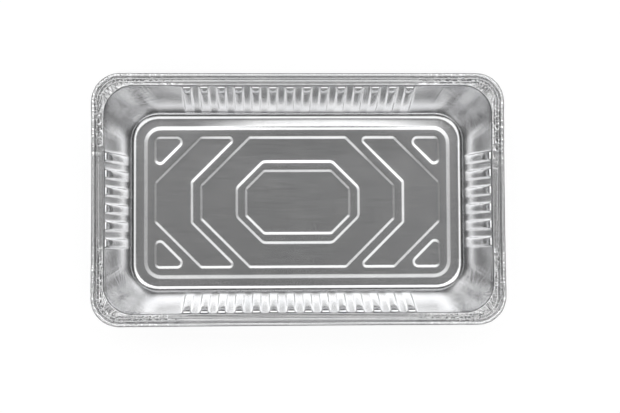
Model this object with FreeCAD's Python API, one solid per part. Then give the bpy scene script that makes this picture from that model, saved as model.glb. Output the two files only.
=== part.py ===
import FreeCAD, Part
import math
import os

# Full-size deep foil tray, pressed from one sheet: fluted leaning walls,
# a rolled rim and raised ribs in the floor.
# Millimetres. X runs along the length, Y across the width, Z up from the
# surface that the tray stands on. The origin is under the middle of the floor.

# Overall size
rim_length = 530.0
rim_width = 324.0
tray_height = 80.0
foil = 0.15

# Rolled rim, listed from the outside edge inward
rim_corner_radius = 36.0
curl_radius = 3.0
curl_turn = 280.0
curl_flats = [2, 3, 3, 2]
curl_rise = 0.9
ridge_count = 2
ridge_width = 4.0
ridge_rise = 0.7
corner_crimps = 6
crimp_depth = 0.5
land_width = 3.2
lip_chamfer = 1.0

# Walls, from the mouth down to the heel
mouth_corner_radius = 38.0
foot_corner_radius = 38.0
wall_lean = 28.0
heel_radius = 8.8
heel_flats = 5

# Flutes pressed inward in the walls
flute_pitch = 22.0
flute_width = 11.0
flute_crest_width = 5.0
flute_depth = 2.6
flute_foot_depth = 1.2
flute_head_run = 4.0
flute_head_drop = 2.5
plain_wall_long = 56.0
plain_wall_short = 40.0

# Raised panel and ribs in the floor
standing_ring_width = 17.0
panel_rise = 0.72
panel_slope_run = 5.0
panel_corner_radius = 20.0
frame_width = 14.2
rib_width = 12.5
rib_slope_run = 3.0
corner_leg = 43.0
bracket_width = 48.4
bracket_arm_width = 33.2
centre_band_length = 47.2
centre_band_width = 32.2
ring_end_length = 38.5
eye_end_length = 35.5
tip_radius = 6.0
bend_radius = 9.0

# Values worked out from the sizes above
land_top = tray_height - curl_rise
curl_axis_height = tray_height - curl_radius
curl_start = math.acos((curl_radius - curl_rise) / curl_radius)
first_valley = curl_radius * (1.0 + math.sin(curl_start))
land_start = first_valley + ridge_count * ridge_width
mouth_inset = land_start + land_width
lean_angle = math.atan2(wall_lean, land_top)
bend_angle = math.pi / 2 - lean_angle
lip_angle = bend_angle / 2
heel_reach = heel_radius * math.tan(bend_angle / 2)
heel_top = heel_radius * (1.0 - math.cos(bend_angle))
heel_top_grow = heel_radius * math.sin(bend_angle) - heel_reach
foot_half_length = rim_length / 2 - mouth_inset - wall_lean
foot_half_width = rim_width / 2 - mouth_inset - wall_lean
panel_half_length = foot_half_length - standing_ring_width
panel_half_width = foot_half_width - standing_ring_width
field_half_length = panel_half_length - frame_width
field_half_width = panel_half_width - frame_width
overlap = 1.0
nearly_nothing = 1e-6


def point(x, y, z=0.0):
    return FreeCAD.Vector(x, y, z)


def arc_through(first, middle, last):
    return Part.Arc(first, middle, last).toShape()


def outline(corners, radii, grow, z):
    """Closed wire at height z: straight sides, an arc at each corner with a radius.

    The corners run anticlockwise, and grow moves every side outward.
    """
    count = len(corners)
    ways = [(corners[(i + 1) % count] - corners[i]).normalize() for i in range(count)]
    arcs = []
    for i, corner in enumerate(corners):
        way_in = ways[i - 1]
        way_out = ways[i]
        normals = point(way_in.y + way_out.y, -way_in.x - way_out.x)
        moved = corner + normals * (grow / (1.0 + way_in.dot(way_out)))
        turn = way_in.getAngle(way_out)
        outside_corner = way_in.cross(way_out).z > 0
        radius = radii[i] + (grow if outside_corner else -grow) if radii[i] else 0.0
        reach = radius * math.tan(turn / 2)
        inward = (way_out - way_in).normalize()
        middle = moved + inward * (radius / math.cos(turn / 2) - radius)
        lift = point(0, 0, z)
        arcs.append((moved - way_in * reach + lift, middle + lift, moved + way_out * reach + lift))
    edges = []
    for i, (first, middle, last) in enumerate(arcs):
        if radii[i]:
            edges.append(arc_through(first, middle, last))
        edges.append(Part.makeLine(last, arcs[(i + 1) % count][0]))
    return Part.Wire(edges)


def rectangle(half_length, half_width):
    return [
        point(half_length, -half_width),
        point(half_length, half_width),
        point(-half_length, half_width),
        point(-half_length, -half_width),
    ]


def is_straight(edge):
    ends = [vertex.Point for vertex in edge.Vertexes]
    return len(ends) == 2 and edge.Length - (ends[1] - ends[0]).Length < nearly_nothing


def ruled_block(wires):
    """A solid through a stack of wires, whose straight-edged flat sides are true planes."""
    faces = []
    for face in Part.makeLoft(wires, True, True).Faces:
        if all(is_straight(edge) for edge in face.OuterWire.Edges):
            corners = [vertex.Point for vertex in face.OuterWire.OrderedVertexes]
            face = Part.Face(Part.makePolygon(corners + corners[:1]))
        faces.append(face)
    shell = Part.makeShell(faces)
    shell.sewShape()
    return Part.makeSolid(shell)


def frustum(corners, radii, grow_low, z_low, grow_high, z_high):
    low = outline(corners, radii, grow_low, z_low)
    high = outline(corners, radii, grow_high, z_high)
    return ruled_block([low, high])


def wall_corner_radius(z):
    return foot_corner_radius + (mouth_corner_radius - foot_corner_radius) * z / land_top


def wall_outline(z, inset):
    """The wall's outline at height z, moved inward by inset."""
    spread = wall_lean * z / land_top
    half_sides = rectangle(foot_half_length + spread, foot_half_width + spread)
    return outline(half_sides, [wall_corner_radius(z)] * 4, -inset, z)


def heel_outlines(depth):
    """The bowl's outlines from the floor up the round heel, which ends tangent to the wall."""
    radius = heel_radius - depth
    foot_sides = rectangle(foot_half_length, foot_half_width)
    corner_radii = [wall_corner_radius(heel_top) - heel_top_grow] * 4
    rows = []
    for k in range(heel_flats + 1):
        angle = bend_angle * k / heel_flats
        grow = radius * math.sin(angle) - heel_reach
        z = heel_radius - radius * math.cos(angle)
        rows.append(outline(foot_sides, corner_radii, grow, z))
    return rows


def bowl_space(depth):
    """The space inside one face of the foil: depth 0 is the outside face."""
    inset = depth / math.cos(lean_angle)
    land_low = land_top - foil + depth
    lip_leg = lip_chamfer + depth * math.tan(lip_angle / 2)
    neck = wall_outline(land_low - lip_leg * math.cos(lean_angle), inset)
    mouth = wall_outline(land_low, inset - lip_leg)
    bowl = ruled_block(heel_outlines(depth) + [neck, mouth])

    land_edge = land_start + land_width / 3
    land_corners = rectangle(rim_length / 2 - land_edge, rim_width / 2 - land_edge)
    land_radii = [rim_corner_radius - land_edge] * 4
    land = frustum(land_corners, land_radii, 0, land_low, 0, land_top + overlap)
    return bowl.fuse(land)


def bar_outline(half_width_low, half_width_high, low, high, z_low, z_high):
    return Part.makePolygon([
        point(-half_width_low, low, z_low),
        point(half_width_low, low, z_low),
        point(half_width_high, high, z_high),
        point(-half_width_high, high, z_high),
        point(-half_width_low, low, z_low),
    ])


def flute_tool(depth):
    """A bar with sloping sides and head, lying on its wall: y runs up the wall, z out of it."""
    side_run = (flute_width - flute_crest_width) / 2
    side_angle = math.atan2(flute_depth, side_run)
    head_angle = math.atan2(flute_depth, flute_head_run)
    wall_length = (land_top - flute_head_drop) / math.cos(lean_angle)
    crest_end = wall_length - flute_head_run + depth * math.tan(head_angle / 2)
    crest_half_width = flute_crest_width / 2 + depth * math.tan(side_angle / 2)
    deepening = (flute_depth - flute_foot_depth) * (crest_end + heel_radius) / crest_end
    foot_crest_half_width = crest_half_width + deepening / math.tan(side_angle)
    crest = bar_outline(
        foot_crest_half_width, crest_half_width, -heel_radius, crest_end,
        deepening - flute_depth - depth, -flute_depth - depth)
    height = flute_depth + depth + overlap
    outer_half_width = crest_half_width + height / math.tan(side_angle)
    outer_end = crest_end + height / math.tan(head_angle)
    outer = bar_outline(
        outer_half_width, outer_half_width, -heel_radius, outer_end, overlap, overlap)
    return ruled_block([crest, outer])


def flute_tools(depth):
    """The bars that press the flutes into the four walls."""
    bar = flute_tool(depth)
    bar.rotate(point(0, 0), point(1, 0, 0), 90 + math.degrees(lean_angle))
    side_walls = (foot_half_width, foot_half_length, plain_wall_long)
    end_walls = (foot_half_length, foot_half_width, plain_wall_short)
    tools = []
    for i in range(4):
        distance, half_side, plain_wall = end_walls if i % 2 else side_walls
        straight = 2 * (half_side + wall_lean - mouth_corner_radius - plain_wall)
        count = int(straight / flute_pitch)
        for k in range(count):
            tool = bar.copy()
            tool.translate(point((k - (count - 1) / 2) * flute_pitch, -distance))
            tool.rotate(point(0, 0), point(0, 0, 1), 90 * i)
            tools.append(tool)
    return tools


def mirrored(corners):
    """The same outline on the other side of the YZ plane, still anticlockwise."""
    return [point(-corner.x, corner.y) for corner in reversed(corners)]


def flipped(corners):
    """The same outline on the other side of the XZ plane, still anticlockwise."""
    return [point(corner.x, -corner.y) for corner in reversed(corners)]


def octagon(half_length, half_width, chamfer):
    return [
        point(half_length, -half_width + chamfer),
        point(half_length, half_width - chamfer),
        point(half_length - chamfer, half_width),
        point(-half_length + chamfer, half_width),
        point(-half_length, half_width - chamfer),
        point(-half_length, -half_width + chamfer),
        point(-half_length + chamfer, -half_width),
        point(half_length - chamfer, -half_width),
    ]


def floor_pits():
    """Outlines of the low fields between the floor's ribs, with their corner radii."""
    long_edge = field_half_length
    wide_edge = field_half_width
    diagonal_rib = rib_width * math.sqrt(2)
    corner_line = long_edge + wide_edge - corner_leg
    bracket_outer_line = corner_line - diagonal_rib
    bracket_inner_line = bracket_outer_line - bracket_arm_width * math.sqrt(2)
    band_line = bracket_inner_line - diagonal_rib
    bracket_edge = long_edge - bracket_width
    band_edge = bracket_edge - rib_width

    triangle = [
        point(long_edge, corner_line - long_edge),
        point(long_edge, wide_edge),
        point(corner_line - wide_edge, wide_edge),
    ]
    triangle_radii = [tip_radius] * 3
    bracket = [
        point(long_edge, bracket_outer_line - long_edge),
        point(bracket_outer_line - wide_edge, wide_edge),
        point(bracket_inner_line - wide_edge, wide_edge),
        point(bracket_edge, bracket_inner_line - bracket_edge),
        point(bracket_edge, bracket_edge - bracket_inner_line),
        point(bracket_inner_line - wide_edge, -wide_edge),
        point(bracket_outer_line - wide_edge, -wide_edge),
        point(long_edge, long_edge - bracket_outer_line),
    ]
    bracket_radii = [0, 0, tip_radius, bend_radius, bend_radius, tip_radius, 0, 0]
    band = octagon(band_edge, wide_edge, band_edge + wide_edge - band_line)
    ring_half_length = band_edge - centre_band_length
    ring_half_width = wide_edge - centre_band_width
    ring = octagon(ring_half_length, ring_half_width, ring_half_width - ring_end_length / 2)
    eye_half_width = ring_half_width - rib_width
    eye = octagon(ring_half_length - rib_width, eye_half_width, eye_half_width - eye_end_length / 2)

    corner_fields = [triangle, mirrored(triangle), flipped(triangle), mirrored(flipped(triangle))]
    pits = [(corners, triangle_radii) for corners in corner_fields]
    pits.append((bracket, bracket_radii))
    pits.append((mirrored(bracket), bracket_radii[::-1]))
    return pits, (band, [0] * 8), (ring, [bend_radius] * 8), (eye, [0] * 8)


def sloped_field(corners, radii, slope_run, grow, depth, widens_upward):
    """A block past both ends of the rib height, whose sides slope by slope_run over panel_rise."""
    low = -panel_rise / 2
    high = panel_rise * 3 / 2
    side = 1.0 if widens_upward else -1.0
    grow_low = grow + side * slope_run * (low / panel_rise - 0.5)
    grow_high = grow + side * slope_run * (high / panel_rise - 0.5)
    return frustum(corners, radii, grow_low, depth + low, grow_high, depth + high)


def rib_network(depth):
    """The raised frame and ribs of the floor, as a block to take out from below."""
    panel_angle = math.atan2(panel_rise, panel_slope_run)
    rib_angle = math.atan2(panel_rise, rib_slope_run)
    panel_grow = depth * math.tan(panel_angle / 2)
    rib_grow = depth * math.tan(rib_angle / 2)
    panel_corners = rectangle(panel_half_length, panel_half_width)
    network = sloped_field(
        panel_corners, [panel_corner_radius] * 4, panel_slope_run, panel_grow, depth, False)
    pits, band, ring, eye = floor_pits()
    band_block = sloped_field(*band, rib_slope_run, -rib_grow, depth, True)
    ring_block = sloped_field(*ring, rib_slope_run, rib_grow, depth, False)
    blocks = [sloped_field(*pit, rib_slope_run, -rib_grow, depth, True) for pit in pits]
    blocks.append(band_block.cut(ring_block))
    blocks.append(sloped_field(*eye, rib_slope_run, -rib_grow, depth, True))
    ceiling = Part.makeBox(
        2 * foot_half_length, 2 * foot_half_width, panel_rise,
        point(-foot_half_length, -foot_half_width, depth + panel_rise))
    return network.cut(blocks + [ceiling])


def foil_face_space(depth):
    """The fluted and ribbed space inside one face of the foil."""
    return bowl_space(depth).cut(flute_tools(depth)).cut(rib_network(depth))


def rim_section(shift):
    """Outline of the rim's cut face, with its outer edge at x = shift and the land towards -x."""
    quarter = math.pi / 2
    marks = [curl_start, 0.0, -quarter, -2 * quarter, curl_start - math.radians(curl_turn)]
    angles = marks[:1]
    for flats, first, last in zip(curl_flats, marks, marks[1:]):
        angles += [first + (last - first) * (k + 1) / flats for k in range(flats)]
    widest_flat = quarter / min(curl_flats[1:3])
    inner_radius = curl_radius - foil / math.cos(widest_flat / 2)

    def on_curl(angle, radius):
        x = shift - curl_radius - radius * math.sin(angle)
        z = curl_axis_height + radius * math.cos(angle)
        return point(x, 0, z)

    outer_curl = [on_curl(angle, curl_radius) for angle in reversed(angles)]
    inner_curl = [on_curl(angle, inner_radius) for angle in angles[1:]]
    ridges = []
    for i in range(ridge_count):
        crest_x = shift - first_valley - (i + 0.5) * ridge_width
        ridges.append(point(crest_x, 0, land_top + ridge_rise))
        ridges.append(point(crest_x - ridge_width / 2, 0, land_top))
    ridges.append(point(-land_start - 2 * land_width / 3, 0, land_top))
    down = point(0, 0, -foil)
    underside = [corner + down for corner in reversed([outer_curl[-1]] + ridges)]
    corners = outer_curl + ridges + underside + inner_curl
    return Part.makePolygon(corners + corners[:1])


def turned_section(shift, corner_index, share):
    """The rim's section, carried by share of the way round one corner of the rim."""
    side_x, side_y = [(1, 1), (-1, 1), (-1, -1), (1, -1)][corner_index]
    centre_x = side_x * (rim_length / 2 - rim_corner_radius)
    centre_y = side_y * (rim_width / 2 - rim_corner_radius)
    section = rim_section(shift)
    section.translate(point(rim_corner_radius, 0))
    section.rotate(point(0, 0), point(0, 0, 1), 90 * (corner_index + share))
    section.translate(point(centre_x, centre_y))
    return section


def rim_ring():
    """The rim: straight along the sides, its corners gathered in small crimps."""
    steps = 2 * corner_crimps
    sections = []
    for i in range(4):
        for k in range(steps + 1):
            shift = -crimp_depth if k % 2 else 0.0
            sections.append(turned_section(shift, i, k / steps))
    return Part.makeLoft(sections, True, True, True)


def build_tray():
    sheet = foil_face_space(0).cut(foil_face_space(foil))
    return sheet.fuse(rim_ring()).removeSplitter()


os.makedirs("parts", exist_ok=True)
build_tray().exportStep("parts/tray.step")
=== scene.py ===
import math
from dataclasses import dataclass

import bpy
import numpy as np
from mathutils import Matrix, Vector, noise
from mathutils.geometry import delaunay_2d_cdt


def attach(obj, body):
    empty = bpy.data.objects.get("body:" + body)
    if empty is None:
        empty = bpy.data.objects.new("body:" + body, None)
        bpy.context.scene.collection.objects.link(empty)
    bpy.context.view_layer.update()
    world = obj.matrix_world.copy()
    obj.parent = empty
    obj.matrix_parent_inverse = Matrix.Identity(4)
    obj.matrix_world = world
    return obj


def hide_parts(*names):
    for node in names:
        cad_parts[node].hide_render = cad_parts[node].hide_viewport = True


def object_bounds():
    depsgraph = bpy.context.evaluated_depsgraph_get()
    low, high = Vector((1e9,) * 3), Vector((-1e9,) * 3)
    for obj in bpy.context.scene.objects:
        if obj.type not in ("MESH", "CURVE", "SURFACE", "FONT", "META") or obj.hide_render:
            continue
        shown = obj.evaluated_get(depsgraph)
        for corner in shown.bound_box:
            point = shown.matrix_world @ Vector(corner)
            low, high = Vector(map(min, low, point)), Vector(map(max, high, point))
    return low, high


# Deep foil tray: one sheet of rolled aluminium, pressed into a fluted bowl with
# a crimped rim and an embossed floor. The tray is worked out in millimetres, and
# the studio round it in metres.

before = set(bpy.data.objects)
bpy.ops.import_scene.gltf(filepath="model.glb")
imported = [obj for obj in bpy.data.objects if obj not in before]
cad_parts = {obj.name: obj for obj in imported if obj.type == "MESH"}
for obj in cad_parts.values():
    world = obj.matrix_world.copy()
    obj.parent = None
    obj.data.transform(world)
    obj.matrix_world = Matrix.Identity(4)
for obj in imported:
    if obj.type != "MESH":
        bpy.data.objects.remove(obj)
cad_low, cad_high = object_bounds()

MM = 0.001

# Overall size, from the frame
half_length = cad_high.x / MM
half_width = cad_high.y / MM
tray_height = cad_high.z / MM
foil = 0.15

# Rim, from the outside edge inward
rim_corner_radius = 38.5
curl_radius = 3.0
curl_turn = math.radians(280)
curl_rise = 0.9
ridge_count = 2
ridge_width = 4.0
ridge_rise = 0.7
ridge_valleys = [1.5, 0.9, 0.5]
mouth_inset = 16.34
lip_radius = 1.4

# Walls and heel
wall_corner_radius = 38.0
wall_lean = 28.0
heel_angles = [0, 8, 16, 25, 36, 48, 59]
heel_radii = [3.0, 12.0, 12.0, 12.0, 12.0, 3.0, 3.0]
ring_strip = 2.4

# Flutes pressed inward in the walls
flute_pitch = 22.0
flute_half_foot = 7.0
flute_half_crest = 4.0
flute_depth = 2.6
flute_foot_depth = 0.15
flute_fade_start = 4.0
flute_fade_height = 26.0
flute_heel_blend = 0.3
flute_least_blend = 1e-6
flute_head_run = 2.2
flute_head_drop = 2.5
long_flutes = 14
short_flutes = 6

# Embossed floor
standing_ring_width = 18.5
emboss_rise = 0.72
panel_slope_run = 5.2
rib_slope_run = 3.8
slope_rounding = 0.3
panel_corner_radius = 20.0
frame_width = 12.7
rib_width = 12.5
corner_leg = 43.0
bracket_width = 48.4
bracket_arm_width = 33.2
centre_band_length = 47.2
centre_band_width = 32.2
ring_end_length = 38.5
eye_end_length = 35.5
tip_radius = 6.0
bend_radius = 9.0
turn_radius = 4.0

# Sides that have sprung in, over these shares of the half width and half length
side_bow_long = 0.5
side_bow_short = 1.2
long_side_from = 0.6
short_side_from = 0.7
short_side_blend = 0.15

# Crimps and wrinkles in the rim
crimp_sway = 0.45
crimp_lift = 1.2
crimp_reach = 85.0
crimp_least = 0.06
lip_crimp_share = 0.5
land_wrinkle = 0.25
wrinkle_reach = 14.0

# Creases in the corner walls
crease_depth = 0.5
crease_reach = 34.0
crease_slant = 10.0
crease_foot_share = 0.25
groove_width = 0.16
groove_share = 0.9
soft_share = 0.2
crease_shift = 0.3

# Dents in the walls, and waves in the floor
dent_depth = 0.25
dent_shift = 0.2
dent_foot_share = 0.25
wave_height = 0.05
wave_shift = 1.4
wave_edge_run = 9.0

# Upward bulge of the floor's edge along the +Y side
bulge_rise = 1.5
bulge_centre = 40.0
bulge_half_length = 178.0
bulge_start = 5.5
bulge_end = 62.0
bulge_curve = 1.2

# Noise layers of those marks: size along, size across, seed and strength
sway_noise = [(2.4, 9.0, 3.0, 1.0), (1.5, 5.0, 8.0, 0.6)]
lift_noise = [(2.5, 8.0, 21.0, 2.0)]
wrinkle_noise = [(1.5, 1.0, 33.0, 1.0), (3.7, 1.0, 41.0, 0.5)]
wrinkle_line = 0.5
crease_soft_noise = [(6.5, 1 / 1.3, 5.0, 1.0)]
crease_groove_noise = [(3.4, 1 / 0.9, 15.0, 1.0)]
dent_noise = [(27.0, 27.0, 2.0, 1.0)]
wave_noise = [(38.0, 38.0, 7.0, 1.0), (14.0, 14.0, 9.0, 0.4)]

# How finely the walls and the rim are divided
flank_columns = 4
gap_shares = [2 / 3, 4 / 3]
column_clearance = 1.0
end_column_pitch = 1.5
corner_columns = 54
curl_steps = 9
ridge_steps = 6
lip_steps = 3
wall_steps = 4
head_shares = [0.0, 0.3, 0.65, 1.0]

# How finely the floor is divided
bend_step = math.radians(13)
slope_guard = 0.8
slope_end = 0.5
loop_spacing = 7.0
share_spacing = 20.0
floor_grid = 7.5
floor_grid_aspect = 0.87
rim_clearance = 0.6
loop_clearance = 0.5
rim_thinning = 4
wave_rim_thinning = 5
weld_distance = 1e-4

# Crimps drawn by the foil's material, and painted shade in the rim's deep folds and in dashes at the corners
crimp_fade_run = 55.0
crimp_foot_run = 20.0
crimp_drift = 0.12
quarter_shift = 0.4
lip_fade_height = 76.0
lip_fade_run = 5.0
rim_crimp_share = 0.4
# painted shade: how far the creases shift the shade band, to paint dark dashes at the corners
shade_dash_depth = 7.0
# painted shade: the band of heights where the rim's deep folds are darkened, and how dark they are painted
fold_shade_base = 76.0
fold_shade_run = 4.0
fold_shade_tones = [(0.22, 1.0), (0.34, 0.3), (0.46, 0.35), (0.56, 1.0)]
# the outside edge of the curl is lifted clear of the painted shade
plain_edge = 3.5
plain_edge_lift = 10.0
metal_tones = [(0.3, (0.83, 0.835, 0.845)), (0.7, (0.9, 0.9, 0.905))]
roughness_levels = [(0.3, 0.19), (0.7, 0.24)]

# Studio floor
studio_half_size = 3.0
studio_drop = 0.0004
studio_grey = 0.8
seen_grey = 0.2
seen_glow = 0.88

# Light of the studio: levels over the distance from the opening's middle and from the ceiling's
brightest = 1.6
opening_squeeze = 0.58
opening_y = 0.02
opening_levels = [(0.0, 0.11), (0.12, 0.14), (0.2, 0.2), (0.25, 0.35), (0.3, 1.1), (0.36, 1.4), (1.0, 1.4)]
horizon_limit = 0.05
centre_guard = 0.01
ceiling_stretch = 1.15
corner_reach = 0.4
room_range = 2.0
room_levels = [(0.0, 1.0), (0.72, 1.0), (0.85, 0.75), (1.0, 0.6), (1.1, 0.3), (1.22, 0.03), (2.0, 0.03)]
back_share = 0.35

# Camera, nearly straight above, as in the photo
sensor_width = 36.0
lens_length = 69.56
camera_place = (-0.0393, -0.0818, 1.6)
camera_turn = (2.718, -1.979, -0.303)

# Values worked out from the sizes above
land_top = tray_height - curl_rise
lean_angle = math.atan2(wall_lean, land_top)
curl_start = math.acos((curl_radius - curl_rise - ridge_valleys[0]) / curl_radius)
first_valley = curl_radius * (1 + math.sin(curl_start))
land_start = first_valley + ridge_count * ridge_width
foot_half_length = half_length - mouth_inset - wall_lean
foot_half_width = half_width - mouth_inset - wall_lean
mouth_half_length = half_length - mouth_inset
mouth_half_width = half_width - mouth_inset


def smoothstep(value):
    clipped = np.clip(value, 0.0, 1.0)
    return clipped * clipped * (3 - 2 * clipped)


def layered_noise(along, across, layers):
    """Sum of smooth noise layers at each point; across is one value for each point, or one for all."""
    across = np.broadcast_to(across, np.shape(along))
    total = np.zeros(len(along))
    for size_along, size_across, seed, strength in layers:
        layer = [noise.noise(Vector((a / size_along, b / size_across, seed))) for a, b in zip(along, across)]
        total += strength * np.array(layer)
    return total


class Side:
    """One straight side of the tray's outline and the columns of vertices along it."""

    def __init__(self, count, straight, rim_straight):
        self.reach = count * flute_pitch / 2
        self.straight = straight
        flank = np.linspace(flute_half_crest, flute_half_foot, flank_columns)
        gap = flute_pitch / 2 - flute_half_foot
        beyond = flute_half_foot + gap * np.array(gap_shares)
        offsets = np.concatenate([-flank[::-1], [0.0], flank, beyond])
        centres = (np.arange(count) - (count - 1) / 2) * flute_pitch
        fluted = (centres[:, None] + offsets[None, :]).ravel()
        fluted = fluted[np.abs(fluted) < self.reach - column_clearance]
        end_count = int((rim_straight - self.reach) / end_column_pitch)
        ends = np.linspace(self.reach, straight, end_count + 1, endpoint=False)
        self.places = np.concatenate([-ends[::-1], fluted, ends])
        distance = np.abs(self.places[:, None] - centres[None, :]).min(axis=1)
        self.flute = 1 - smoothstep((distance - flute_half_crest) / (flute_half_foot - flute_half_crest))

    def along(self, straight):
        """The columns' places where the straight side is this long: only the plain ends stretch."""
        past = np.maximum(np.abs(self.places) - self.reach, 0)
        stretch = (straight - self.reach) / (self.straight - self.reach)
        return np.sign(self.places) * (np.minimum(np.abs(self.places), self.reach) + past * stretch)


long_side = Side(long_flutes, mouth_half_length - wall_corner_radius, half_length - rim_corner_radius)
short_side = Side(short_flutes, mouth_half_width - wall_corner_radius, half_width - rim_corner_radius)
sides = [short_side, long_side, short_side, long_side]
corner_turn = np.linspace(0, math.pi / 2, corner_columns)


def row_outline(length, width, radius):
    """Points of one closed row of vertices, anticlockwise from the +X side."""
    points = []
    for i, side in enumerate(sides):
        out, half = (length, width) if i % 2 == 0 else (width, length)
        along = side.along(half - radius)
        straight = np.stack([np.full_like(along, out), along], axis=1)
        arc = np.stack([
            out - radius + radius * np.cos(corner_turn),
            half - radius + radius * np.sin(corner_turn)], axis=1)
        turn = i * math.pi / 2
        turned = np.array([[math.cos(turn), math.sin(turn)], [-math.sin(turn), math.cos(turn)]])
        points.append(np.concatenate([straight, arc]) @ turned)
    return np.concatenate(points)


def column_values(side_values, corner_values):
    """One value for each column, from each side's own values and the corner's."""
    return np.concatenate([np.concatenate([side_values(side), corner_values]) for side in sides])


column_flute = column_values(lambda side: side.flute, np.zeros(corner_columns))
column_count = len(column_flute)


@dataclass
class Row:
    """A closed row of vertices: how far in and how high it lies, and what flutes and marks do to it."""

    inset: float
    z: float
    radius: float
    wall_share: float = 0.0
    departure: float = 0.0
    head: float = 0.0
    rim: float = 0.0

    def points(self):
        flat = row_outline(half_length - self.inset, half_width - self.inset, self.radius)
        return np.column_stack([flat, np.full(len(flat), self.z)])


def curl_rows():
    """The rolled edge, from its hidden end up to its outer top."""
    rows = []
    for k in range(curl_steps, 0, -1):
        angle = curl_start - curl_turn * k / curl_steps
        inset = curl_radius + curl_radius * math.sin(angle)
        z = tray_height - curl_radius + curl_radius * math.cos(angle)
        rows.append(Row(inset, z, rim_corner_radius - inset, rim=1.0))
    return rows


def ridge_rows():
    """The ridges inside the curl, and the valleys beside them."""
    rows = []
    for k in range(ridge_count * ridge_steps + 1):
        inset = first_valley + k * ridge_width / ridge_steps
        wave = 0.5 - 0.5 * math.cos(2 * math.pi * k / ridge_steps)
        valley = np.interp(k / ridge_steps, range(ridge_count + 1), ridge_valleys)
        rise = (ridge_rise + valley) * wave - valley
        rows.append(Row(inset, land_top + rise, rim_corner_radius - inset, rim=1.0))
    return rows


def lip_rows():
    """The land's inner end, and the bend that turns it down into the wall."""
    rows = []
    bend = math.pi / 2 - lean_angle
    start = mouth_inset - lip_radius * math.tan(bend / 2)
    for k in range(lip_steps + 1):
        turned = bend * k / lip_steps
        inset = start + lip_radius * math.sin(turned)
        z = land_top - lip_radius * (1 - math.cos(turned))
        radius = wall_corner_radius - (inset - mouth_inset) * (1 - k / lip_steps)
        rows.append(Row(inset, z, radius, rim=lip_crimp_share))
    return rows


def wall_rows():
    """The leaning wall below the lip, with the rows closer together at the flutes' heads."""
    rows = []
    slope_length = land_top / math.cos(lean_angle)
    heel_reach = heel_points()[0][1] / math.cos(lean_angle)
    head_top = flute_head_drop / math.cos(lean_angle)
    head_steps = head_top + flute_head_run * np.array(head_shares)
    lower = np.linspace(head_steps[-1], slope_length - heel_reach, wall_steps + 1)[1:]
    for down in np.concatenate([head_steps, lower]):
        inset = mouth_inset + down * math.sin(lean_angle)
        z = land_top - down * math.cos(lean_angle)
        head = float(smoothstep((down - head_top) / flute_head_run))
        rows.append(Row(inset, z, wall_corner_radius, wall_share=1 - down / slope_length, head=head))
    return rows


def heel_points():
    """The round heel from the wall down to the floor: distance inside the wall's foot line, and height."""
    angles = [math.radians(angle) for angle in heel_angles] + [math.pi / 2 - lean_angle]
    out, up = [0.0], [0.0]
    for low, high, radius in zip(angles, angles[1:], heel_radii):
        out.append(out[-1] + radius * (math.sin(high) - math.sin(low)))
        up.append(up[-1] + radius * (math.cos(low) - math.cos(high)))
    flat_start = out[-1] - up[-1] * math.tan(lean_angle)
    return [(flat_start - a, b) for a, b in zip(out, up)][::-1]


def heel_rows():
    """The round heel between the wall and the floor, and a flat strip of the standing ring."""
    rows = []
    points = heel_points()
    top_inside = points[0][0]
    for inside, height in points[1:]:
        departure = inside * math.cos(lean_angle) + height * math.sin(lean_angle)
        inset = mouth_inset + wall_lean + inside
        radius = wall_corner_radius - (inside - top_inside)
        rows.append(Row(inset, height + foil, radius, departure=departure, head=1.0))
    last = rows[-1]
    rows.append(Row(last.inset + ring_strip, foil, last.radius - ring_strip))
    return rows


def surface_normals(grid):
    """Unit normals of a grid of closed rows: up on the rim and the floor, and into the tray on the walls."""
    along = np.roll(grid, -1, axis=1) - np.roll(grid, 1, axis=1)
    across = np.empty_like(grid)
    across[1:-1] = grid[2:] - grid[:-2]
    across[0] = grid[1] - grid[0]
    across[-1] = grid[-1] - grid[-2]
    normal = np.cross(across, along)
    return -normal / np.linalg.norm(normal, axis=2, keepdims=True)


def press_flutes(grid, rows, outward):
    """Moves the wall in by the flutes' depth, which fades near the foot.

    In the heel a flute shows only where it stands out from the bend.
    """
    into_tray = np.column_stack([
        -outward * math.cos(lean_angle), np.full(column_count, math.sin(lean_angle))])
    for i, row in enumerate(rows):
        if row.head == 0:
            continue
        height_share = float(smoothstep((row.z - flute_fade_start) / flute_fade_height))
        full_depth = flute_foot_depth + (flute_depth - flute_foot_depth) * height_share
        excess = full_depth * column_flute * row.head - row.departure
        blend = max(min(flute_heel_blend, row.departure), flute_least_blend)
        near = np.clip(excess + blend, 0, 2 * blend)
        shown = near ** 2 / (4 * blend) + np.maximum(excess - blend, 0)
        grid[i] += into_tray * shown[:, None]


def outward_directions():
    """The level direction out of the tray at each column."""
    outside = row_outline(half_length, half_width, rim_corner_radius)
    inside = row_outline(half_length - 1, half_width - 1, rim_corner_radius - 1)
    way = outside - inside
    return way / np.linalg.norm(way, axis=1, keepdims=True)


def corner_distance():
    """Distance of each column from the nearest corner bend, measured along the rim; 0 inside it."""
    return column_values(
        lambda side: side.along(side.straight)[-1] - np.abs(side.places), np.zeros(corner_columns))


def perimeter_place(points):
    """Distance along a closed row of points from its first one."""
    steps = np.linalg.norm(np.roll(points, -1, axis=0) - points, axis=1)
    return np.concatenate([[0.0], np.cumsum(steps)[:-1]])


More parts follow.
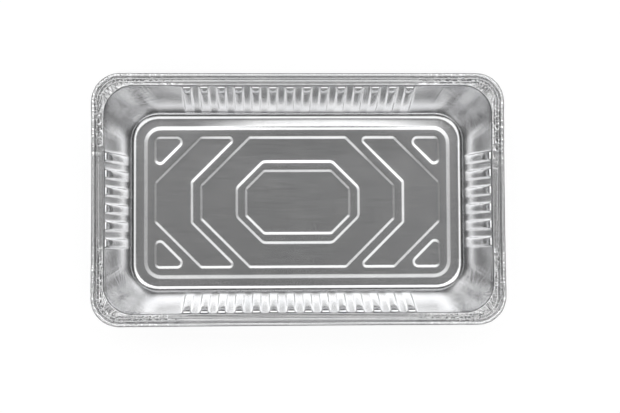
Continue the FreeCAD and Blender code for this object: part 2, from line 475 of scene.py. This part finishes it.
def crimp_rim(grid, rows, outward):
    """Small creases across the rim, gathered at the corners and fading along the sides."""
    distance = corner_distance()
    nearness = crimp_least + (1 - crimp_least) * (1 - smoothstep(distance / crimp_reach))
    at_corner = 1 - smoothstep(distance / wrinkle_reach)
    place = perimeter_place(grid[curl_steps])
    wrinkle = layered_noise(place, wrinkle_line, wrinkle_noise)
    half_step = ridge_width / ridge_steps / 2
    for i, row in enumerate(rows):
        if row.rim == 0:
            continue
        sway = layered_noise(place, row.inset, sway_noise)
        lift = np.abs(layered_noise(place, row.inset, lift_noise))
        inward_only = -np.abs(sway) if row.inset < curl_radius else sway
        grid[i, :, :2] += outward * (crimp_sway * nearness * inward_only * row.rim)[:, None]
        grid[i, :, 2] -= crimp_lift * nearness * lift * row.rim
        if row.inset > land_start - half_step:
            grid[i, :, 2] += land_wrinkle * row.rim * at_corner * wrinkle


def crease_corners(grid, rows, normals):
    """Fine creases in the corner walls, fanning up from the heel to the lip."""
    nearness = 1 - smoothstep(corner_distance() / crease_reach)
    spread = perimeter_place(row_outline(mouth_half_length, mouth_half_width, wall_corner_radius))
    for i, row in enumerate(rows):
        if row.wall_share == 0 and row.departure == 0:
            continue
        slant = crease_slant * row.wall_share
        soft = layered_noise(spread + slant, row.wall_share, crease_soft_noise)
        from_groove = np.abs(layered_noise(spread - slant, row.wall_share, crease_groove_noise))
        groove = np.maximum(0.0, 1 - from_groove / groove_width)
        depth = crease_depth * nearness * (crease_foot_share + (1 - crease_foot_share) * row.wall_share)
        grid[i] += normals[i] * (depth * (soft_share * soft + groove_share * groove - crease_shift))[:, None]


def bow_sides(grid):
    """The free sides have sprung in a little, most at their middles and at the rim."""
    height = np.clip(grid[:, :, 2] / tray_height, 0, 1)
    x_share = grid[:, :, 0] / half_length
    y_share = grid[:, :, 1] / half_width
    on_long = np.abs(y_share) > long_side_from
    grid[:, :, 1] -= np.sign(y_share) * side_bow_long * (1 - x_share ** 2) * height * on_long
    on_short = smoothstep((np.abs(x_share) - short_side_from) / short_side_blend)
    grid[:, :, 0] -= np.sign(x_share) * side_bow_short * (1 - y_share ** 2) * height * on_short


def bulge(x, y):
    """The standing ring has sprung up along the +Y side, so that it tilts outward there."""
    along = np.clip(1 - ((x - bulge_centre) / bulge_half_length) ** 2, 0, 1)
    inside = foot_half_width - y
    crest = standing_ring_width
    rising = np.clip((inside - bulge_start) / (crest - bulge_start), 0, 1) ** bulge_curve
    falling = 1 - smoothstep((inside - crest) / (bulge_end - crest))
    return bulge_rise * along * rising * falling


def dent_walls(grid, rows, normals):
    """Shallow dents in the walls, which fade out at the heel."""
    x, y, z = (grid[:, :, axis].ravel() for axis in range(3))
    dents = layered_noise(x + z, y, dent_noise) - dent_shift
    wall_share = np.array([row.wall_share for row in rows])[:, None]
    depth = dents.reshape(grid.shape[:2]) * dent_depth * smoothstep(wall_share / dent_foot_share)
    grid += normals * depth[:, :, None]


def wall_grid():
    """The sheet from the curl to the floor's edge: rows of vertices, each of them closed."""
    rows = curl_rows() + ridge_rows() + lip_rows() + wall_rows() + heel_rows()
    grid = np.stack([row.points() for row in rows])
    outward = outward_directions()
    normals = surface_normals(grid)
    press_flutes(grid, rows, outward)
    crease_corners(grid, rows, normals)
    crimp_rim(grid, rows, outward)
    bow_sides(grid)
    low = np.array([row.departure > 0 or row.inset > mouth_inset + wall_lean for row in rows])
    grid[low, :, 2] += bulge(grid[low, :, 0], grid[low, :, 1])
    dent_walls(grid, rows, normals)
    grid[:, :, 2] = np.minimum(grid[:, :, 2], tray_height)
    return grid


def rectangle(x, y):
    return [(x, -y), (x, y), (-x, y), (-x, -y)]


def octagon(x, y, chamfer):
    return [
        (x, chamfer - y), (x, y - chamfer), (x - chamfer, y), (chamfer - x, y),
        (-x, y - chamfer), (-x, chamfer - y), (chamfer - x, -y), (x - chamfer, -y)]


def mirrored(corners):
    return [(-x, y) for x, y in reversed(corners)]


def flipped(corners):
    return [(x, -y) for x, y in reversed(corners)]


def inside_distance(points, outline):
    """Signed distance of each point to a closed outline, positive inside it."""
    nearest = np.full(len(points), np.inf)
    crossings = np.zeros(len(points), int)
    for start, end in zip(outline, np.roll(outline, -1, axis=0)):
        way = end - start
        share = np.clip(((points - start) @ way) / (way @ way), 0, 1)
        gap = points - start - share[:, None] * way
        nearest = np.minimum(nearest, (gap * gap).sum(axis=1))
        above = (start[1] > points[:, 1]) != (end[1] > points[:, 1])
        if start[1] != end[1]:
            cross_x = start[0] + (points[:, 1] - start[1]) * way[0] / way[1]
            crossings += (above & (points[:, 0] < cross_x)).astype(int)
    return np.sqrt(nearest) * np.where(crossings % 2 == 1, 1, -1)


def soft_ramp(distance, run):
    """From 0 to 1 across a slope of that run, with rounded ends."""
    low = np.sqrt((distance + run / 2) ** 2 + slope_rounding ** 2)
    high = np.sqrt((distance - run / 2) ** 2 + slope_rounding ** 2)
    return np.clip((low - high) / (2 * run) + 0.5, 0, 1)


@dataclass
class Outline:
    """A closed outline of the embossing: its corners, their radius, and the run of its slope."""

    corners: list
    radius: float
    run: float = rib_slope_run

    def points(self, grow, spacing):
        """The outline with its corners rounded, moved outward by grow."""
        corners = np.array(self.corners, float)
        ways = np.roll(corners, -1, axis=0) - corners
        ways /= np.linalg.norm(ways, axis=1, keepdims=True)
        bends = []
        for i, corner in enumerate(corners):
            way_in, way_out = ways[i - 1], ways[i]
            normals = np.array([way_in[1] + way_out[1], -way_in[0] - way_out[0]])
            moved = corner + normals * grow / (1 + way_in @ way_out)
            turn = math.atan2(way_in[0] * way_out[1] - way_in[1] * way_out[0], way_in @ way_out)
            side = math.copysign(1.0, turn)
            bend = self.radius + side * grow
            to_centre = np.array([-way_in[1], way_in[0]]) * side * bend
            centre = moved - way_in * bend * math.tan(abs(turn) / 2) + to_centre
            steps = max(2, math.ceil(abs(turn) / bend_step))
            first = math.atan2(-way_in[0] * side, way_in[1] * side)
            angles = first + turn * np.arange(steps + 1) / steps
            bends.append(centre + bend * np.column_stack([np.cos(angles), np.sin(angles)]))
        points = []
        for i, bend in enumerate(bends):
            start, end = bend[-1], bends[(i + 1) % len(bends)][0]
            pieces = max(1, round(np.linalg.norm(end - start) / spacing))
            shares = np.arange(1, pieces)[:, None] / pieces
            points += [bend, start + (end - start) * shares]
        return np.concatenate(points)

    def share(self, points):
        """0 outside the outline and 1 inside it, with its slope between them."""
        return soft_ramp(inside_distance(points, self.points(0.0, share_spacing)), self.run)

    def slope_loops(self):
        """Loops of points along the slope, at its middle and on both sides of its two ends."""
        top = self.run / 2
        offsets = (-top - slope_guard, -top, slope_end - top, 0.0, top - slope_end, top, top + slope_guard)
        return [self.points(offset, loop_spacing) for offset in offsets]


def floor_outlines():
    """Outlines of the raised panel, of the low fields and the band in it, and of the ring and its eye."""
    panel_x = foot_half_length - standing_ring_width
    panel_y = foot_half_width - standing_ring_width
    long_edge = panel_x - frame_width
    wide_edge = panel_y - frame_width
    diagonal_rib = rib_width * math.sqrt(2)
    corner_line = long_edge + wide_edge - corner_leg
    outer_line = corner_line - diagonal_rib
    inner_line = outer_line - bracket_arm_width * math.sqrt(2)
    band_line = inner_line - diagonal_rib
    bracket_edge = long_edge - bracket_width
    band_edge = bracket_edge - rib_width
    ring_x = band_edge - centre_band_length
    ring_y = wide_edge - centre_band_width
    eye_y = ring_y - rib_width
    triangle = [
        (long_edge, corner_line - long_edge), (long_edge, wide_edge), (corner_line - wide_edge, wide_edge)]
    bracket = [
        (long_edge, outer_line - long_edge),
        (outer_line - wide_edge, wide_edge),
        (inner_line - wide_edge, wide_edge),
        (bracket_edge, inner_line - bracket_edge),
        (bracket_edge, bracket_edge - inner_line),
        (inner_line - wide_edge, -wide_edge),
        (outer_line - wide_edge, -wide_edge),
        (long_edge, long_edge - outer_line)]
    triangles = [triangle, mirrored(triangle), flipped(triangle), mirrored(flipped(triangle))]
    fields = [Outline(corners, tip_radius) for corners in triangles]
    fields += [Outline(corners, turn_radius) for corners in (bracket, mirrored(bracket))]
    panel = Outline(rectangle(panel_x, panel_y), panel_corner_radius, panel_slope_run)
    band = Outline(octagon(band_edge, wide_edge, band_edge + wide_edge - band_line), turn_radius)
    ring = Outline(octagon(ring_x, ring_y, ring_y - ring_end_length / 2), bend_radius)
    eye = Outline(octagon(ring_x - rib_width, eye_y, eye_y - eye_end_length / 2), turn_radius)
    return panel, fields, band, ring, eye


def emboss_height(points):
    """Height of the embossed floor over the standing ring."""
    panel, fields, band, ring, eye = floor_outlines()
    raised = panel.share(points) * (1 - band.share(points) * (1 - ring.share(points)))
    for field in fields + [eye]:
        raised = raised * (1 - field.share(points))
    return emboss_rise * raised


def floor_mesh(rim_points):
    """Triangles between the last row of the wall grid and the embossed pattern."""
    panel, fields, band, ring, eye = floor_outlines()
    loops = [loop for outline in [panel] + fields + [band, eye, ring] for loop in outline.slope_loops()]
    edges = []
    start = len(rim_points)
    for loop in loops:
        edges += [(start + k, start + (k + 1) % len(loop)) for k in range(len(loop))]
        start += len(loop)
    taken = np.concatenate([rim_points] + loops)
    columns = np.arange(-foot_half_length, foot_half_length, floor_grid)
    lines = np.arange(-foot_half_width, foot_half_width, floor_grid * floor_grid_aspect)
    spare = np.array([
        (x + (floor_grid / 2 if i % 2 else 0), y) for i, y in enumerate(lines) for x in columns])
    spare = spare[inside_distance(spare, rim_points[::rim_thinning]) > floor_grid * rim_clearance]
    clearance = (floor_grid * loop_clearance) ** 2
    spare = spare[[((taken - point) ** 2).sum(axis=1).min() > clearance for point in spare]]
    points = [Vector(point) for point in np.concatenate([taken, spare])]
    outer = list(range(len(rim_points)))
    keep_inside = 1
    result = delaunay_2d_cdt(points, edges, [outer], keep_inside, weld_distance)
    vertices = np.array([[vertex.x, vertex.y] for vertex in result[0]])
    faces = result[2]
    origins = result[3]
    return vertices, faces, origins


def build_skin():
    """The sheet's upper side as one mesh: vertices in millimetres and faces."""
    grid = wall_grid()
    vertices = grid.reshape(-1, 3)
    last_row = (len(grid) - 1) * column_count
    faces = []
    for start in range(0, last_row, column_count):
        below = start + column_count
        for k in range(column_count):
            after = (k + 1) % column_count
            faces.append((start + k, start + after, below + after, below + k))
    floor_points, floor_faces, origins = floor_mesh(grid[-1, :, :2])
    index = {}
    added = []
    for number, sources in enumerate(origins):
        shared = [source for source in sources if source < column_count]
        if shared:
            index[number] = last_row + shared[0]
        else:
            index[number] = len(vertices) + len(added)
            added.append(number)
    flat = floor_points[added]
    waves = layered_noise(flat[:, 0], flat[:, 1], wave_noise) + wave_shift
    inner = smoothstep(inside_distance(flat, grid[-1, ::wave_rim_thinning, :2]) / wave_edge_run)
    height = foil + emboss_height(flat) + wave_height * waves * inner + bulge(flat[:, 0], flat[:, 1])
    vertices = np.concatenate([vertices, np.column_stack([flat, height])])
    faces += [tuple(index[corner] for corner in face) for face in floor_faces]
    return vertices, faces


def foil_piece():
    vertices, faces = build_skin()
    mesh = bpy.data.meshes.new("tray_foil")
    mesh.from_pydata((vertices * MM).tolist(), [], faces)
    mesh.validate()
    mesh.update()
    mesh.shade_smooth()
    piece = bpy.data.objects.new("tray_foil", mesh)
    bpy.context.collection.objects.link(piece)
    thickness = piece.modifiers.new("foil", "SOLIDIFY")
    thickness.thickness = foil * MM
    thickness.offset = -1
    return piece


class Shading:
    """The node tree of a material or of the world, with short ways to add to it."""

    def __init__(self, owner):
        owner.use_nodes = True
        self.nodes = owner.node_tree.nodes
        self.links = owner.node_tree.links

    def feed(self, socket, value):
        """Links the socket to another node's output, or sets its constant."""
        if isinstance(value, bpy.types.NodeSocket):
            self.links.new(value, socket)
        else:
            socket.default_value = value

    def add(self, kind, **inputs):
        """A new node, with its inputs of those names fed."""
        node = self.nodes.new(kind)
        for name, value in inputs.items():
            self.feed(node.inputs[name], value)
        return node

    def axes(self, vector):
        split = self.add("ShaderNodeSeparateXYZ", Vector=vector)
        return [split.outputs[axis] for axis in "XYZ"]

    def maths(self, operation, *values):
        node = self.nodes.new("ShaderNodeMath")
        node.operation = operation
        for socket, value in zip(node.inputs, values):
            self.feed(socket, value)
        return node.outputs["Value"]

    def share(self, value, start, run, least=0.0):
        """How far a length in metres has come over the run from start, both in millimetres; 1 at most."""
        share = self.maths("MULTIPLY_ADD", value, 1 / (run * MM), -start / run)
        return self.maths("MINIMUM", self.maths("MAXIMUM", share, least), 1.0)

    def ramp(self, value, stops):
        """A colour ramp over the value; each stop has a place and a grey level or a colour."""
        node = self.add("ShaderNodeValToRGB", Fac=value)
        elements = node.color_ramp.elements
        while len(elements) < len(stops):
            elements.new(0.5)
        for element, (position, tone) in zip(elements, stops):
            element.position = position
            element.color = (*tone, 1) if isinstance(tone, tuple) else (tone, tone, tone, 1)
        return node.outputs["Color"]

    def noise(self, vector, scale, detail, roughness):
        texture = self.add(
            "ShaderNodeTexNoise", Vector=vector, Scale=scale, Detail=detail, Roughness=roughness)
        return texture.outputs["Fac"]

    def bump(self, height, strength, distance, **normal):
        node = self.add("ShaderNodeBump", Height=height, Strength=strength, Distance=distance, **normal)
        return node.outputs["Normal"]


def corner_crimps(shading, place):
    """The fine creases that fan out at the corners: their height, and the sheet's level with them in it,
    which sets where the painted shade falls, with dark dashes at the corners and the outside edge kept clear
    of it.
    """
    maths = shading.maths
    x, y, z = shading.axes(place)
    off_x = maths("ABSOLUTE", x)
    off_y = maths("ABSOLUTE", y)
    past_x = maths("SUBTRACT", off_x, (half_length - rim_corner_radius) * MM)
    past_y = maths("SUBTRACT", off_y, (half_width - rim_corner_radius) * MM)
    around = maths("MULTIPLY", maths("ARCTAN2", past_y, past_x), rim_corner_radius * MM)
    quarter = maths("MULTIPLY_ADD", maths("SIGN", y), quarter_shift, maths("SIGN", x))
    drift = maths("MULTIPLY", z, crimp_drift)
    spread = shading.add("ShaderNodeCombineXYZ", X=around, Y=drift, Z=quarter).outputs["Vector"]
    texture = shading.noise(spread, scale=420.0, detail=3.0, roughness=0.6)
    at_corner = shading.share(maths("MINIMUM", past_x, past_y), -crimp_fade_run, crimp_fade_run)
    above_foot = shading.share(z, 0.0, crimp_foot_run)
    below_lip = shading.share(z, lip_fade_height, -lip_fade_run, rim_crimp_share)
    height = maths("MULTIPLY", maths("MULTIPLY", texture, at_corner), above_foot)
    height = maths("MULTIPLY", height, below_lip)
    # painted shade: the creases shift the level that the shade ramp reads, so dark dashes are painted at the
    # corners
    shade_dashes = maths("MULTIPLY", maths("SUBTRACT", texture, 0.5), at_corner)
    level = maths("MULTIPLY_ADD", shade_dashes, shade_dash_depth * MM, z)
    # the outside edge is lifted out of the painted shade band
    outside_x = maths("SUBTRACT", off_x, half_length * MM)
    outside_y = maths("SUBTRACT", off_y, half_width * MM)
    at_edge = maths("GREATER_THAN", maths("MAXIMUM", outside_x, outside_y), -plain_edge * MM)
    return height, maths("MULTIPLY_ADD", at_edge, plain_edge_lift * MM, level)


def foil_material():
    """Bright rolled foil; the deep folds of its rim are darkened, in place of the shadow in them."""
    material = bpy.data.materials.new("foil")
    shading = Shading(material)
    shader = shading.nodes["Principled BSDF"]
    shader.inputs["Metallic"].default_value = 1.0
    place = shading.nodes.new("ShaderNodeTexCoord").outputs["Object"]
    rolled = shading.add("ShaderNodeMapping", Vector=place, Scale=(6.0, 260.0, 260.0)).outputs["Vector"]
    rolling = shading.noise(rolled, scale=4.0, detail=3.0, roughness=0.55)
    speckle = shading.noise(place, scale=900.0, detail=2.0, roughness=0.6)
    crinkle = shading.noise(place, scale=170.0, detail=3.0, roughness=0.55)
    cloud = shading.noise(place, scale=24.0, detail=3.0, roughness=0.5)
    creases, level = corner_crimps(shading, place)
    tone = shading.nodes.new("ShaderNodeMix")
    tone.data_type = "RGBA"
    tone.blend_type = "MULTIPLY"
    tone.inputs["Factor"].default_value = 1.0
    shading.feed(tone.inputs["A"], shading.ramp(cloud, metal_tones))
    # painted shade: the foil's colour is darkened over a band of heights in the rim's folds, with dashes at
    # the corners
    shading.feed(tone.inputs["B"], shading.ramp(shading.share(level, fold_shade_base, fold_shade_run), fold_shade_tones))
    shading.feed(shader.inputs["Base Color"], tone.outputs["Result"])
    shading.feed(shader.inputs["Roughness"], shading.ramp(rolling, roughness_levels))
    grain = shading.bump(creases, strength=1.0, distance=0.0008)
    grain = shading.bump(rolling, strength=0.03, distance=0.0002, Normal=grain)
    grain = shading.bump(speckle, strength=0.12, distance=0.0001, Normal=grain)
    grain = shading.bump(crinkle, strength=0.1, distance=0.0003, Normal=grain)
    shading.feed(shader.inputs["Normal"], grain)
    return material


def grey(level):
    return (level, level, level, 1)


def studio_white():
    """A pale floor that keeps the tray's shadow, and is near white where it is seen or mirrored."""
    material = bpy.data.materials.new("studio_white")
    shading = Shading(material)
    shading.nodes.clear()
    output = shading.nodes.new("ShaderNodeOutputMaterial")
    diffuse = shading.add("ShaderNodeBsdfDiffuse", Color=grey(studio_grey))
    soft = shading.add("ShaderNodeBsdfDiffuse", Color=grey(seen_grey))
    glow = shading.add("ShaderNodeEmission", Color=grey(1.0), Strength=seen_glow)
    seen = shading.nodes.new("ShaderNodeAddShader")
    shading.feed(seen.inputs[0], soft.outputs["BSDF"])
    shading.feed(seen.inputs[1], glow.outputs["Emission"])
    rays = shading.nodes.new("ShaderNodeLightPath").outputs
    direct = shading.maths("MAXIMUM", rays["Is Camera Ray"], rays["Is Glossy Ray"])
    mix = shading.nodes.new("ShaderNodeMixShader")
    shading.feed(mix.inputs["Fac"], shading.maths("MAXIMUM", direct, rays["Is Transmission Ray"]))
    shading.feed(mix.inputs[1], diffuse.outputs["BSDF"])
    shading.feed(mix.inputs[2], seen.outputs["Shader"])
    shading.feed(output.inputs["Surface"], mix.outputs["Shader"])
    return material


def floor_plane():
    mesh = bpy.data.meshes.new("studio_floor")
    corners = [(x, y, -studio_drop) for x, y in rectangle(studio_half_size, studio_half_size)]
    mesh.from_pydata(corners, [], [(0, 1, 2, 3)])
    mesh.materials.append(studio_white())
    floor = bpy.data.objects.new("studio_floor", mesh)
    bpy.context.collection.objects.link(floor)
    return floor


def studio_world():
    """A bright ceiling with a dark opening, where the camera hangs, and a dim room past its edges.

    A direction's place on the ceiling is where it meets a level plane at height 1.
    """
    world = bpy.data.worlds.new("studio")
    bpy.context.scene.world = world
    shading = Shading(world)
    maths = shading.maths
    background = shading.nodes["Background"]
    background.inputs["Strength"].default_value = brightest
    x, y, z = shading.axes(shading.nodes.new("ShaderNodeTexCoord").outputs["Generated"])
    height = maths("MAXIMUM", z, horizon_limit)
    ceiling_x = maths("DIVIDE", x, height)
    ceiling_y = maths("DIVIDE", y, height)
    across = maths("MULTIPLY", ceiling_x, opening_squeeze)
    along = maths("SUBTRACT", ceiling_y, opening_y)
    spread = maths("SQRT", maths("ADD", maths("POWER", across, 2.0), maths("POWER", along, 2.0)))
    overhead = shading.ramp(spread, [(at, level / brightest) for at, level in opening_levels])
    far_x = maths("MULTIPLY", maths("ABSOLUTE", ceiling_x), ceiling_stretch)
    far = maths("MAXIMUM", far_x, maths("ABSOLUTE", ceiling_y))
    squares = maths("ADD", maths("POWER", ceiling_x, 2.0), maths("POWER", ceiling_y, 2.0))
    slant = maths("DIVIDE", maths("MULTIPLY", ceiling_x, ceiling_y), maths("ADD", squares, centre_guard))
    far = maths("MULTIPLY_ADD", maths("MULTIPLY", slant, slant), -4 * corner_reach, far)
    room_stops = [(at / room_range, level) for at, level in room_levels]
    room = shading.ramp(maths("DIVIDE", far, room_range), room_stops)
    tilt = maths("MULTIPLY_ADD", y, back_share, 1.0)
    mix = shading.nodes.new("ShaderNodeMix")
    mix.data_type = "FLOAT"
    mix.inputs["B"].default_value = 1 / brightest
    shading.feed(mix.inputs["Factor"], shading.nodes.new("ShaderNodeLightPath").outputs["Is Camera Ray"])
    shading.feed(mix.inputs["A"], maths("MULTIPLY", maths("MULTIPLY", overhead, room), tilt))
    shading.feed(background.inputs["Color"], mix.outputs["Result"])


def photo_camera():
    data = bpy.data.cameras.new("camera")
    data.sensor_width = sensor_width
    data.lens = lens_length
    camera = bpy.data.objects.new("camera", data)
    camera.location = camera_place
    camera.rotation_euler = [math.radians(angle) for angle in camera_turn]
    bpy.context.collection.objects.link(camera)
    bpy.context.scene.camera = camera


tray = foil_piece()
tray.data.materials.append(foil_material())
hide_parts("tray")
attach(tray, "root")
floor_plane()
studio_world()
photo_camera()
bpy.context.scene.view_settings.view_transform = "Standard"
